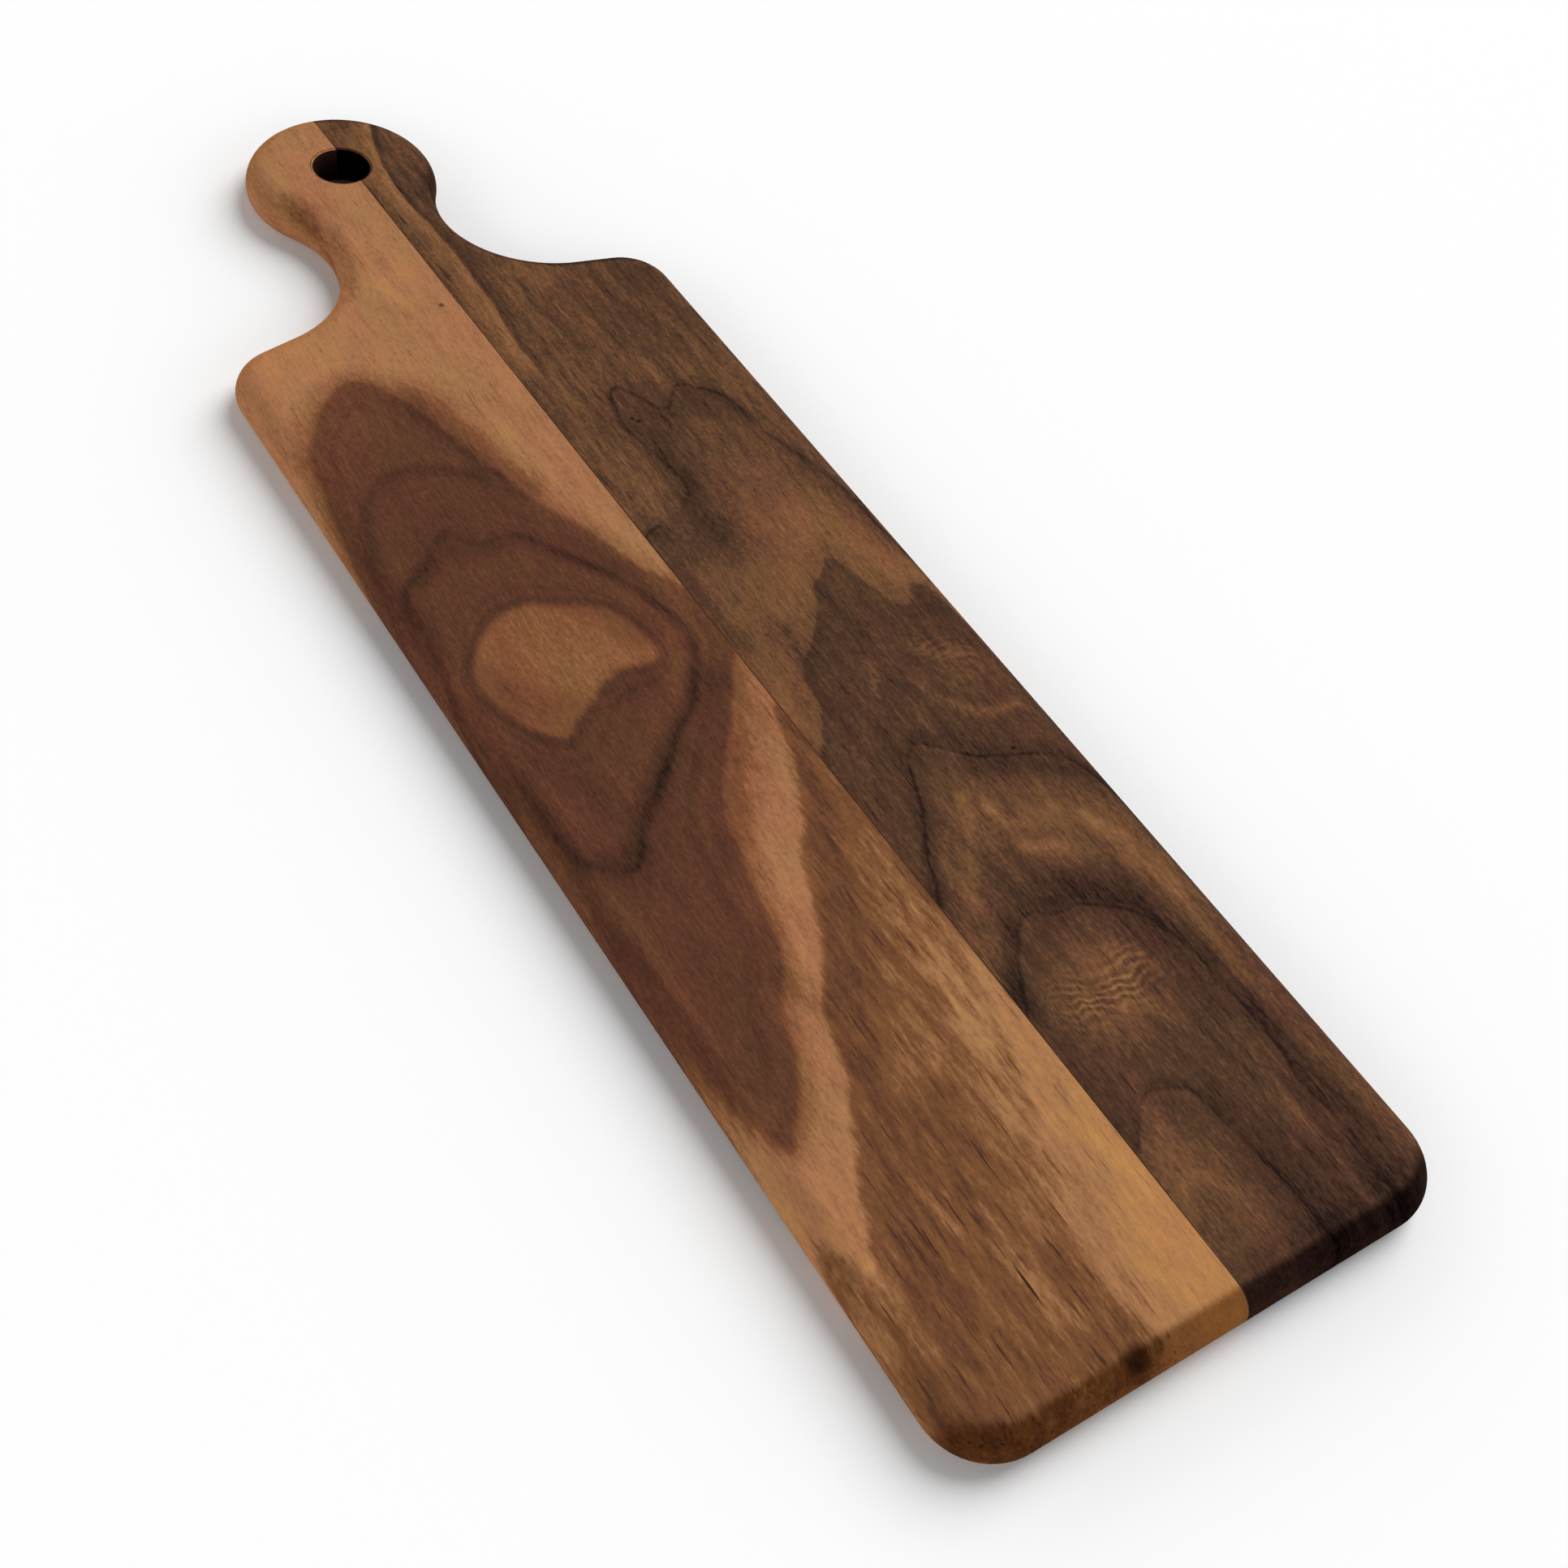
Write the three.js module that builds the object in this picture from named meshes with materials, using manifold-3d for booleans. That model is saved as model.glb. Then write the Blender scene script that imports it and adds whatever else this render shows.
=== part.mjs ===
// Walnut bread board: two planks glued edge to edge, cut to a paddle with a round knob and a hanging hole.
// Millimetres. +Y runs along the board towards the knob, +Z is up, and the underside lies on Z = 0.
// The origin is under the middle of the board's box.
import * as THREE from 'three';
import { mergeVertices } from 'three/addons/utils/BufferGeometryUtils.js';
import Module from 'manifold-3d';

// Overall sizes
const BOARD_LENGTH = 508;
const BOARD_WIDTH = 152.4;
const BOARD_THICKNESS = 12.7;

// Outline: rounded near corners, sloping shoulders, hollow neck and round knob
const NEAR_CORNER_RADIUS = 18.2;
const SHOULDER_RADIUS = 17.1;
const SHOULDER_SLOPE_DEG = 12;
const NECK_WIDTH = 43;
const NECK_RADIUS = 36.1;
const KNOB_RADIUS = 31.9;

// Edge rounds, routed all the way round the top and the underside
const TOP_ROUND = 7.4;
const BOTTOM_ROUND = 4.8;

// Hanging hole, drilled through the middle of the knob and eased at both mouths
const HOLE_DIAMETER = 19.05;
const HOLE_EASE = 0.8;

// Glued joint: how far it lies right of the centre line at the near end and at the knob's end
const JOINT_OFFSET_NEAR = 6;
const JOINT_OFFSET_KNOB = 2.3;
const GLUE_FILM = 0.2;
const GLUE_CLEARANCE = 0.05;

// Facets: points on each curve and rows on each edge round
const CORNER_STEPS = 8;
const NECK_STEPS = 14;
const KNOB_STEPS = 36;
const HOLE_STEPS = 40;
const ROUND_ROWS = 5;

// How far cutters and unfinished ends reach past the board
const CUT_MARGIN = 20;

// Colours and finish
const SAP_AND_HEART = 0x7c4f34;
const DARK_HEART = 0x4f3325;
const DRIED_GLUE = 0x3a2416;
const OILED_ROUGHNESS = 0.45;

const wasm = await Module();
wasm.setup();

// A three.js geometry as a solid that can be cut
function toSolid(geometry) {
  const bare = geometry.clone();
  bare.deleteAttribute('normal');
  bare.deleteAttribute('uv');
  const merged = mergeVertices(bare);
  return new wasm.Manifold(new wasm.Mesh({
    numProp: 3,
    vertProperties: new Float32Array(merged.attributes.position.array),
    triVerts: new Uint32Array(merged.index.array),
  }));
}

// A cut solid as a three.js geometry
function toGeometry(solid) {
  const mesh = solid.getMesh();
  const geometry = new THREE.BufferGeometry();
  geometry.setAttribute('position', new THREE.BufferAttribute(new Float32Array(mesh.vertProperties), 3));
  geometry.setIndex(new THREE.BufferAttribute(new Uint32Array(mesh.triVerts), 1));
  geometry.computeVertexNormals();
  return geometry;
}

const nearEnd = -BOARD_LENGTH / 2;
const knobEnd = BOARD_LENGTH / 2;
const halfWidth = BOARD_WIDTH / 2;
const knobCentre = new THREE.Vector2(0, knobEnd - KNOB_RADIUS);

// The neck's hollow touches the knob's circle, and its tightest place sets the neck's width
const neckX = NECK_WIDTH / 2 + NECK_RADIUS;
const neckDrop = Math.sqrt((KNOB_RADIUS + NECK_RADIUS) ** 2 - neckX ** 2);
const neckCentre = new THREE.Vector2(neckX, knobCentre.y - neckDrop);

// The shoulder runs straight at its slope from the hollow to the rounded corner. On a narrow board it
// steepens until the hollow runs into the corner.
const shoulderX = halfWidth - SHOULDER_RADIUS;
const curveSum = NECK_RADIUS + SHOULDER_RADIUS;
const leastSlope = Math.asin((neckX - shoulderX) / curveSum);
const slope = Math.max(THREE.MathUtils.degToRad(SHOULDER_SLOPE_DEG), leastSlope);
const shoulderRun = shoulderX - neckX + curveSum * Math.sin(slope);
const shoulderY = neckCentre.y - curveSum * Math.cos(slope) - shoulderRun * Math.tan(slope);

function arcPoints(centreX, centreY, radius, startAngle, endAngle, steps) {
  const points = [];
  for (let i = 0; i <= steps; i += 1) {
    const angle = startAngle + ((endAngle - startAngle) * i) / steps;
    points.push(new THREE.Vector2(centreX + radius * Math.cos(angle), centreY + radius * Math.sin(angle)));
  }
  return points;
}

// The right half of the outline, from the near corner to the knob's end
function rightHalf() {
  const right = Math.PI / 2;
  const neckToKnob = Math.atan2(neckDrop, -neckX);
  const knobToNeck = Math.atan2(-neckDrop, neckX);
  return [
    ...arcPoints(halfWidth - NEAR_CORNER_RADIUS, nearEnd + NEAR_CORNER_RADIUS, NEAR_CORNER_RADIUS,
      -right, 0, CORNER_STEPS),
    ...arcPoints(shoulderX, shoulderY, SHOULDER_RADIUS, 0, right - slope, CORNER_STEPS),
    ...arcPoints(neckCentre.x, neckCentre.y, NECK_RADIUS, 3 * right - slope, neckToKnob, NECK_STEPS),
    ...arcPoints(knobCentre.x, knobCentre.y, KNOB_RADIUS, knobToNeck, right, KNOB_STEPS / 2).slice(1),
  ];
}

function boardShape() {
  const half = rightHalf();
  const mirrored = half.slice(0, -1).reverse().map((p) => new THREE.Vector2(-p.x, p.y));
  return new THREE.Shape([...half, ...mirrored]);
}

// The outline as a slab between two heights, with its edges rounded at both ends
function roundedSlab(round, bottom, top) {
  const geometry = new THREE.ExtrudeGeometry(boardShape(), {
    depth: top - bottom - 2 * round,
    bevelThickness: round,
    bevelSize: round,
    bevelOffset: -round,
    bevelSegments: ROUND_ROWS,
  });
  geometry.translate(0, 0, bottom + round);
  return toSolid(geometry);
}

// The hanging hole's drill, flared at both mouths of the hole
function holeDrill() {
  const radius = HOLE_DIAMETER / 2;
  const flared = radius + HOLE_EASE;
  const profile = [
    new THREE.Vector2(0, -CUT_MARGIN),
    new THREE.Vector2(flared, -CUT_MARGIN),
    new THREE.Vector2(flared, 0),
    new THREE.Vector2(radius, HOLE_EASE),
    new THREE.Vector2(radius, BOARD_THICKNESS - HOLE_EASE),
    new THREE.Vector2(flared, BOARD_THICKNESS),
    new THREE.Vector2(flared, BOARD_THICKNESS + CUT_MARGIN),
    new THREE.Vector2(0, BOARD_THICKNESS + CUT_MARGIN),
  ];
  const geometry = new THREE.LatheGeometry(profile, HOLE_STEPS);
  geometry.rotateX(Math.PI / 2);
  geometry.translate(knobCentre.x, knobCentre.y, 0);
  return toSolid(geometry);
}

// The whole board before it is parted along the joint
function wholeBoard() {
  const topEdge = roundedSlab(TOP_ROUND, -CUT_MARGIN - BOTTOM_ROUND, BOARD_THICKNESS);
  const bottomEdge = roundedSlab(BOTTOM_ROUND, 0, BOARD_THICKNESS + CUT_MARGIN + TOP_ROUND);
  return topEdge.intersect(bottomEdge).subtract(holeDrill());
}

// The joint's own axes: u is measured square to the joint, v along it, both from the joint at mid-length
const jointMiddle = (JOINT_OFFSET_NEAR + JOINT_OFFSET_KNOB) / 2;
const jointTurn = Math.atan2(JOINT_OFFSET_NEAR - JOINT_OFFSET_KNOB, BOARD_LENGTH);

// The part of the board between two distances from the joint, and between two places along it
function stripOfBoard(board, uLow, uHigh, vLow, vHigh) {
  const height = BOARD_THICKNESS + 2 * CUT_MARGIN;
  const geometry = new THREE.BoxGeometry(uHigh - uLow, vHigh - vLow, height);
  geometry.translate((uLow + uHigh) / 2, (vLow + vHigh) / 2, BOARD_THICKNESS / 2);
  geometry.rotateZ(jointTurn);
  geometry.translate(jointMiddle, 0, 0);
  return board.intersect(toSolid(geometry));
}

function piece(name, solid, colour) {
  const material = new THREE.MeshStandardMaterial({ color: colour, roughness: OILED_ROUGHNESS, metalness: 0 });
  const mesh = new THREE.Mesh(toGeometry(solid), material);
  mesh.name = name;
  return mesh;
}

const board = wholeBoard();
const filmHalf = GLUE_FILM / 2;
const plankEdge = filmHalf + GLUE_CLEARANCE;
const acrossReach = BOARD_WIDTH + CUT_MARGIN;
const alongReach = BOARD_LENGTH / 2 + CUT_MARGIN;

const breadBoard = new THREE.Group();
breadBoard.name = 'bread_board';
breadBoard.add(
  piece('left_plank', stripOfBoard(board, -acrossReach, -plankEdge, -alongReach, alongReach), SAP_AND_HEART),
  piece('right_plank', stripOfBoard(board, plankEdge, acrossReach, -alongReach, alongReach), DARK_HEART),
  // The hanging hole parts the glue line into a long stretch and a short one
  piece('glue_line_blade', stripOfBoard(board, -filmHalf, filmHalf, -alongReach, knobCentre.y), DRIED_GLUE),
  piece('glue_line_knob', stripOfBoard(board, -filmHalf, filmHalf, knobCentre.y, alongReach), DRIED_GLUE),
);

export default breadBoard;
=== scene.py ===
"""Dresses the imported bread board: two walnut planks and their figure, the glue line, stage and camera."""

import math
from collections import namedtuple

import bmesh
import bpy
import numpy as np
from bpy.props import FloatProperty, FloatVectorProperty, PointerProperty
from mathutils import Matrix, Vector


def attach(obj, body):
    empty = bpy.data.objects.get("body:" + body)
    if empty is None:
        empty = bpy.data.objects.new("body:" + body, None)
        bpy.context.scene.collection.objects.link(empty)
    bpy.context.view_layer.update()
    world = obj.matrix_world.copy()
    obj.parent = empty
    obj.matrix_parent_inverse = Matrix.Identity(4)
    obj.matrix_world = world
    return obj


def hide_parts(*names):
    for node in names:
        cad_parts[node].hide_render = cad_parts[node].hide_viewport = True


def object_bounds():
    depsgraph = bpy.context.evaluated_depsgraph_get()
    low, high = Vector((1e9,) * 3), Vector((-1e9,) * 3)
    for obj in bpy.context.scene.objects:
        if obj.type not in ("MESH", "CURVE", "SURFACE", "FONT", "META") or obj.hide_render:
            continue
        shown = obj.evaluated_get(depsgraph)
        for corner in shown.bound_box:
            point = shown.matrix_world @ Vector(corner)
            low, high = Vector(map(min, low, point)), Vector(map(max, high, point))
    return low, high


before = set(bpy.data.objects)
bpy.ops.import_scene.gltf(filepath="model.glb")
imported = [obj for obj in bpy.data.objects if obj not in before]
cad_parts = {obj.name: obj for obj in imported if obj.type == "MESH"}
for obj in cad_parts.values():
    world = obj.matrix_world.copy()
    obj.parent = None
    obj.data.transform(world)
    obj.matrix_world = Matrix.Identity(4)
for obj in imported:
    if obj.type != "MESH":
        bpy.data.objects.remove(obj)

bl_info = {
    "name": "Walnut bread board",
    "version": (1, 0, 0),
    "blender": (4, 5, 0),
    "location": "3D View > Sidebar > Bread board",
    "description": "Models and finishes a bread board glued up from two walnut planks",
    "category": "Add Mesh",
}

# The frame's own sizes, in metres
CAD_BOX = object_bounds()
BOARD_WIDTH = CAD_BOX[1].x - CAD_BOX[0].x
NEAR_END = CAD_BOX[0].y
KNOB_END = CAD_BOX[1].y
THICKNESS = CAD_BOX[1].z

# How finely the planks are cut up
FACE_STEP = 0.002
ARC_STEP = 0.002
ROUND_ROWS = 12
EASE_ROWS = 5
HOLE_SIDES = 96
# Which points merge, which edges are shaded smooth, and how faces are told apart
MERGE_DISTANCE = 1e-5
SMOOTH_ANGLE = math.radians(30)
FACING_UP = 0.9
QUAD_CORNERS = 4

# The figure is drawn on the serving face, in millimetres, x to the right of the middle
# and y towards the knob. It slants through the wood, so it lies elsewhere on the underside.
MILLIMETRE = 0.001
# The highest ring value, how loosely the rings keep to their drawn lines, how far they slant for each
# unit of depth, the least change of ring value in a millimetre, and the least distance that is told from 0
RING_SPAN = 7.0
RING_SOFTNESS = 1.0
RING_SLANT = 3.0
LEAST_SLOPE = 0.008
LEAST_DISTANCE = 1e-9

# Lines of even growth, each with its ring value
LEFT_FIGURE = (
    # the pale eye and its edge
    (0.0, [(-45, -3)]),
    (0.5, [(-55, 3), (-42, 8), (-28, 1), (-24, -10), (-36, -14), (-52, -22)]),
    (1.0, [(-66, 0), (-61.5, 6), (-56, 10.5), (-51, 14), (-46, 16), (-41, 15.5), (-36, 13.5), (-30, 10),
           (-25, 7), (-20.5, 4), (-18, 0), (-16, -5), (-15, -12), (-15.5, -18), (-20, -20), (-27, -19),
           (-34, -20), (-40, -23.5), (-46, -27.5), (-50, -30.5), (-54, -33), (-58, -31), (-62, -26.5),
           (-65, -21), (-67, -14), (-67.5, -7)]),
    # the dark ring round the eye
    (2.0, [(-70, 31), (-64, 37), (-59, 41), (-55, 45), (-51, 48), (-48, 49.5), (-45, 46), (-41, 42),
           (-36, 41), (-30, 41), (-27, 38), (-24, 34), (-22, 30), (-18, 23), (-14, 17), (-12, 12),
           (-9, 6), (-7, 0), (-5, -6), (-4, -11), (-4.5, -16), (-7, -22), (-11, -29), (-15, -35),
           (-19, -39.5), (-24, -43), (-28, -47), (-33, -52), (-38, -56.5), (-43, -61), (-48, -66),
           (-52, -71), (-56, -77), (-60, -80), (-65, -78), (-71, -70), (-74, -35), (-73, 5)]),
    (2.5, [(-72, 50), (-69, 60), (-62, 72), (-57, 76.5), (-50, 79), (-42, 78), (-35, 74), (-28, 67)]),
    # the heartwood's edge, down to the joint and back from it along the pale stripe
    (3.0, [(-76, 64), (-74, 75), (-72, 85), (-70, 93), (-67, 100), (-62, 107), (-57, 113), (-50, 119),
           (-45, 121), (-41, 119), (-37, 112), (-33, 104), (-29, 92), (-26, 80), (-24, 70), (-21, 61),
           (-19, 54), (-16, 46), (-12, 37), (-9, 28), (-6, 20), (-3, 13), (0, 8), (4, 2)]),
    (3.0, [(4, -26), (0, -31), (-4, -37), (-8, -43), (-12, -49), (-16, -54), (-20, -60), (-25, -67),
           (-29, -74), (-31.5, -81), (-33, -88), (-35, -97), (-36.5, -106), (-38, -115), (-41, -122),
           (-45, -128), (-49, -134), (-51, -140), (-53.5, -147), (-56, -153), (-59, -157.5),
           (-62.5, -161), (-65.5, -164), (-68.5, -168), (-71.2, -161.5), (-73, -153.5), (-74.2, -145),
           (-75.2, -135), (-76.5, -120)]),
    # the pale wood of the handle, the shoulder and the stripe
    (3.5, [(-77, 95), (-74, 108), (-66, 118), (-55, 126), (-44, 129), (-34, 124), (-14, 110), (-13, 95),
           (-12, 80), (-10, 66), (-8, 56), (-6, 46), (-3, 36), (0, 26), (3, 16)]),
    (3.6, [(-72, 128), (-60, 140), (-30, 140), (0, 140), (0, 100), (1, 60), (-15, 170), (0, 200),
           (-25, 222), (0, 250), (-40, 200), (-40, 290)]),
    (3.5, [(3, -38), (-3, -47), (-9, -57), (-15, -67), (-21, -80), (-26, -95), (-30, -108), (-34, -120),
           (-40, -132), (-45, -143), (-49, -152), (-53, -159.5), (-58, -165), (-63, -169.5),
           (-68.5, -174.5), (-71.5, -168), (-73.8, -159), (-75.6, -148), (-77, -137), (-79, -121)]),
    (3.6, [(-58, -173), (-63, -182), (-68, -190)]),
    # the stripe's lower edge
    (4.0, [(4, -48), (1, -55), (-1.5, -65), (-4.5, -72), (-7.5, -78), (-9.5, -83), (-11.5, -88),
           (-15.5, -93), (-19, -98), (-21.5, -104), (-24, -110), (-26, -116), (-29, -122), (-32, -127),
           (-36, -133), (-40, -140), (-42, -147), (-44.5, -155), (-48, -163), (-53, -171), (-57, -179),
           (-61, -187), (-64.5, -195), (-67, -201.5), (-69, -203), (-71, -197), (-73, -189), (-75, -180),
           (-77, -171)]),
    # the streaked near end and the golden band along the joint
    (4.6, [(-75, -226), (-69, -246)]),
    (5.0, [(4, -105), (-6, -125), (-14, -145), (-22, -165), (-33, -190), (-42, -210), (-52, -235),
           (-58, -254)]),
    (6.0, [(5, -152), (1, -164), (-4, -176), (-8, -186), (-12, -196), (-15, -206), (-18, -215),
           (-20, -224), (-20.5, -236), (-21, -254)]),
    (6.7, [(5, -185), (0, -210), (-4, -230), (-4, -254)]),
)

RIGHT_FIGURE = (
    # the arches at the near end, from the lowest up
    (0.3, [(14, -225), (17, -248), (11, -248)]),
    (1.0, [(6, -209), (9, -206), (13, -201), (16, -198), (19, -196), (23, -197), (27, -199), (29.5, -202),
           (31, -208), (32, -215), (33, -222), (34, -230), (34.5, -240), (35, -254)]),
    (1.4, [(14, -178), (24, -176), (36, -178), (42, -190), (43, -215), (43, -250)]),
    (1.75, [(12, -166), (24, -156), (36, -157), (46, -163), (50, -180), (51, -215), (51, -250)]),
    (2.0, [(6, -163), (9, -158), (13, -151), (17, -146), (20, -142), (24, -138.5), (28, -139.5),
           (31, -142), (36, -143), (40, -143), (44, -145), (49, -149), (53, -153), (55, -158), (57, -164),
           (58, -172), (58.5, -185), (59, -205), (59, -225), (59, -254)]),
    (2.45, [(6, -146), (14, -131), (27, -117), (40, -124), (56, -132), (65, -150), (66.5, -180),
            (67, -210), (67, -250)]),
    (3.0, [(6, -124), (9, -118), (12, -112), (15, -107), (18, -101), (21, -94), (24, -86), (27, -80),
           (31, -77), (35, -79), (39, -83), (42, -87), (46, -90), (52, -92), (58, -94), (63, -97),
           (67, -101), (71, -107), (74, -116), (76, -135), (77, -160)]),
    (3.5, [(6, -95), (12, -84), (22, -66), (32, -50), (40, -44), (50, -48), (60, -56), (70, -66),
           (76, -78)]),
    # the jagged edge between the dark and the light wood
    (4.0, [(5, -69), (8, -65), (11, -61), (14, -56), (15.5, -50), (16.5, -44), (19, -38), (24, -34),
           (29, -30), (33, -25), (36, -20), (39, -14), (43, -11), (47, -8), (50, -3), (51, 1), (51.5, -6),
           (53, -16), (55, -26), (58, -31), (60, -33), (63, -31), (66, -29), (69, -27), (70, -31),
           (72, -38), (75, -46)]),
    (4.5, [(14, -12), (24, -2), (40, 8), (52, 22), (64, 0), (68, -12)]),
    # the light wood's upper edge, and the plain wood above it
    (5.0, [(5, 25), (9, 26), (14, 27), (19, 29), (23, 33), (26, 37), (27, 42), (26, 47), (25, 55),
           (23.5, 63), (23, 72), (25, 81), (28, 86), (31, 83), (34, 78), (38, 71), (41, 72), (45, 77),
           (48, 79), (50.5, 78), (53, 75), (57, 71), (60, 65), (61, 58), (62, 50), (64, 42), (66, 35),
           (68, 27), (69.5, 20), (71, 8), (74, -12)]),
    (5.3, [(14, 42), (10, 60), (14, 80), (30, 98), (47, 92), (62, 78), (68, 58), (73, 35)]),
    (5.6, [(4, 110), (25, 118), (50, 115), (72, 100), (10, 170), (40, 170), (10, 230), (40, 230),
           (20, 290)]),
)

# The straight dark line along the handle's right half, and where its grain comes in
HANDLE_LINE = (
    (12, 90), (11, 112), (11.5, 122), (13, 135), (13.5, 150), (14, 165), (13.5, 180), (12.5, 190),
    (12, 200), (12.5, 210), (13, 216), (14.5, 224), (16.5, 231), (18.5, 238), (20, 244), (22, 254),
)
HANDLE_START = 88
HANDLE_FULL = 122

# Growth lines: ring value, how much darker the line is, and half its width in millimetres
LEFT_LINES = (
    (1.06, 0.05, 3.0), (1.95, 0.045, 5.5), (2.0, 0.06, 2.6), (2.5, 0.03, 3.0), (2.75, 0.015, 2.0),
)
RIGHT_LINES = (
    (1.0, 0.075, 1.1), (1.03, 0.045, 3.0), (2.0, 0.07, 1.1), (2.05, 0.045, 4.0), (3.0, 0.08, 1.1),
    (3.03, 0.045, 4.0), (5.0, 0.09, 1.3), (4.97, 0.045, 4.0),
)
# Edges between kinds of wood: ring value, how much lighter the wood beyond is, and the edge's width
LEFT_EDGES = ((1.0, -0.12, 4.0), (3.0, 0.11, 2.2), (4.0, -0.15, 2.6))
RIGHT_EDGES = ((4.0, 0.10, 1.6),)

# Strokes of lighter and darker wood, some of them painted shade and highlights on the rounded edges: the
# line that each follows, its half width, and how much lighter it is
LEFT_STROKES_WITH_PAINTED_SHADE_AND_SHEEN = (
    # on the handle
    # dark wood on the knob's lower left, with painted shade of its rounding
    ([(-21, 204), (-25, 212)], 4.5, -0.1),
    # painted shade along the left neck's rounded hollow
    ([(-26, 158), (-21.5, 170), (-18.5, 182), (-19, 194)], 2.5, -0.04),
    ([(-11, 150), (-11.5, 172), (-10.5, 196)], 1.8, -0.04),
    # darker wood on the knob's left rounding, with painted shade
    ([(-31, 232), (-32, 218)], 3, -0.03),
    ([(-16, 160), (-14, 180)], 2.5, 0.02),
    ([(-8, 205), (-6, 165)], 9, 0.02),
    ([(-55, 140)], 20, 0.04),
    ([(-11, 150), (-16, 159)], 5, 0.055),
    # above the eye
    ([(-71, 52), (-68, 61), (-62, 71), (-57, 75.5), (-50, 78), (-42, 77), (-35, 73),
      (-29, 66)], 2.2, -0.035),
    # round the eye and in it
    ([(-32, -27), (-24, -25)], 4, -0.04),
    ([(-60, -13), (-56, -22), (-50, -22)], 6, -0.055),
    ([(-27, 6), (-20, 1), (-18.5, -10)], 4, -0.05),
    ([(-56, -76), (-60, -80), (-66, -77)], 5, -0.05),
    ([(-30, -50), (-40, -59), (-48, -67)], 4.5, -0.03),
    ([(-62, -31), (-58, -33)], 3, -0.03),
    ([(-35, -8), (-25, -13)], 7, 0.02),
    ([(-45, -20), (-38, -12)], 5, 0.015),
    ([(-62, -2), (-62, -18)], 5, -0.03),
    ([(-60, -42), (-58, -58)], 6, -0.035),
    ([(-12, -20), (-20, -32)], 3, 0.03),
    ([(-12, -17), (-11, -23)], 4, 0.04),
    ([(-3, 8), (-1, -8), (-3, -24)], 4, 0.05),
    ([(-12, 12), (-10, 2), (-9.5, -12)], 3, 0.035),
    # the soft shade round the heartwood
    ([(-51, 100)], 10, 0.025),
    ([(-31, 106), (-26, 88), (-21, 70), (-17.5, 58)], 6, -0.095),
    ([(-1, -36)], 9, -0.05),
    ([(-4, -48), (-14, -62)], 7, -0.075),
    ([(-15, -57), (-21, -67), (-22, -75)], 5, -0.05),
    ([(-31, -70), (-35, -80), (-38, -91)], 2, -0.035),
    ([(-24, -72), (-30, -84)], 4, -0.05),
    ([(-17, -74)], 5, -0.035),
    ([(-42, -127), (-41, -134)], 4, -0.06),
    ([(-60, -164)], 5, -0.04),
    ([(-66, -178), (-68, -186)], 4, 0.02),
    ([(-68, -203), (-67, -212)], 3, 0.05),
    ([(-74, -190), (-73, -214)], 4, 0.05),
    # along the left edge
    # painted sheen where the flat face turns into the left rounding
    ([(-70, -72), (-69.5, -120), (-69.5, -158)], 2.5, 0.035),
    ([(-77, -150), (-77, -222)], 3, 0.05),
    ([(-72, -200), (-71, -224)], 5, 0.06),
    ([(-74, 30), (-75, -70)], 3, 0.04),
    ([(-73, 55), (-74.5, 20), (-74.5, -20)], 1.2, -0.03),
    ([(-71.5, 20), (-71.5, -10)], 1.2, 0.03),
    # in the streaked wood
    ([(-39, -195), (-39, -207)], 1.5, -0.06),
    ([(-27, -222), (-26, -247)], 6, -0.07),
    ([(-56, -219), (-56, -226)], 1.5, -0.06),
    ([(-25, -230), (-25, -248)], 1.5, -0.05),
    ([(-20, -165), (-30, -182), (-38, -197)], 3, -0.04),
    ([(-8, -178), (-14, -192)], 2, -0.04),
    ([(-37, -138), (-33, -150), (-36, -158)], 5, -0.05),
    ([(-3, -132), (-5, -152), (-12, -170), (-13, -188)], 7, 0.07),
    ([(-20, -163), (-35, -163)], 6, 0.06),
    ([(-17, -97), (-22, -109)], 2.5, 0.05),
    ([(-20, -138), (-19, -152)], 3, 0.05),
    ([(-28, -135), (-28, -144)], 5, -0.06),
    ([(-50, -168), (-54, -182), (-60, -203)], 5, 0.045),
    ([(-36, -243)], 5, -0.05),
    ([(-1, -66), (-3, -76), (-7, -90)], 4, -0.04),
    ([(1, -92), (-4, -122)], 5, 0.05),
    ([(-50, -172), (-46, -185)], 5, -0.03),
    ([(-58, -190), (-54, -205)], 4, -0.035),
    ([(-8, -140), (-9, -165)], 4, 0.05),
    ([(-3, -158), (-3, -174)], 5, 0.03),
    ([(-26, -145), (-24, -165)], 4, 0.04),
    ([(-10, -110), (-5, -125)], 4, 0.03),
    ([(-47, -192), (-45, -204)], 1.5, 0.05),
    ([(-36.5, -216), (-35.5, -234)], 3, 0.08),
)
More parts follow.
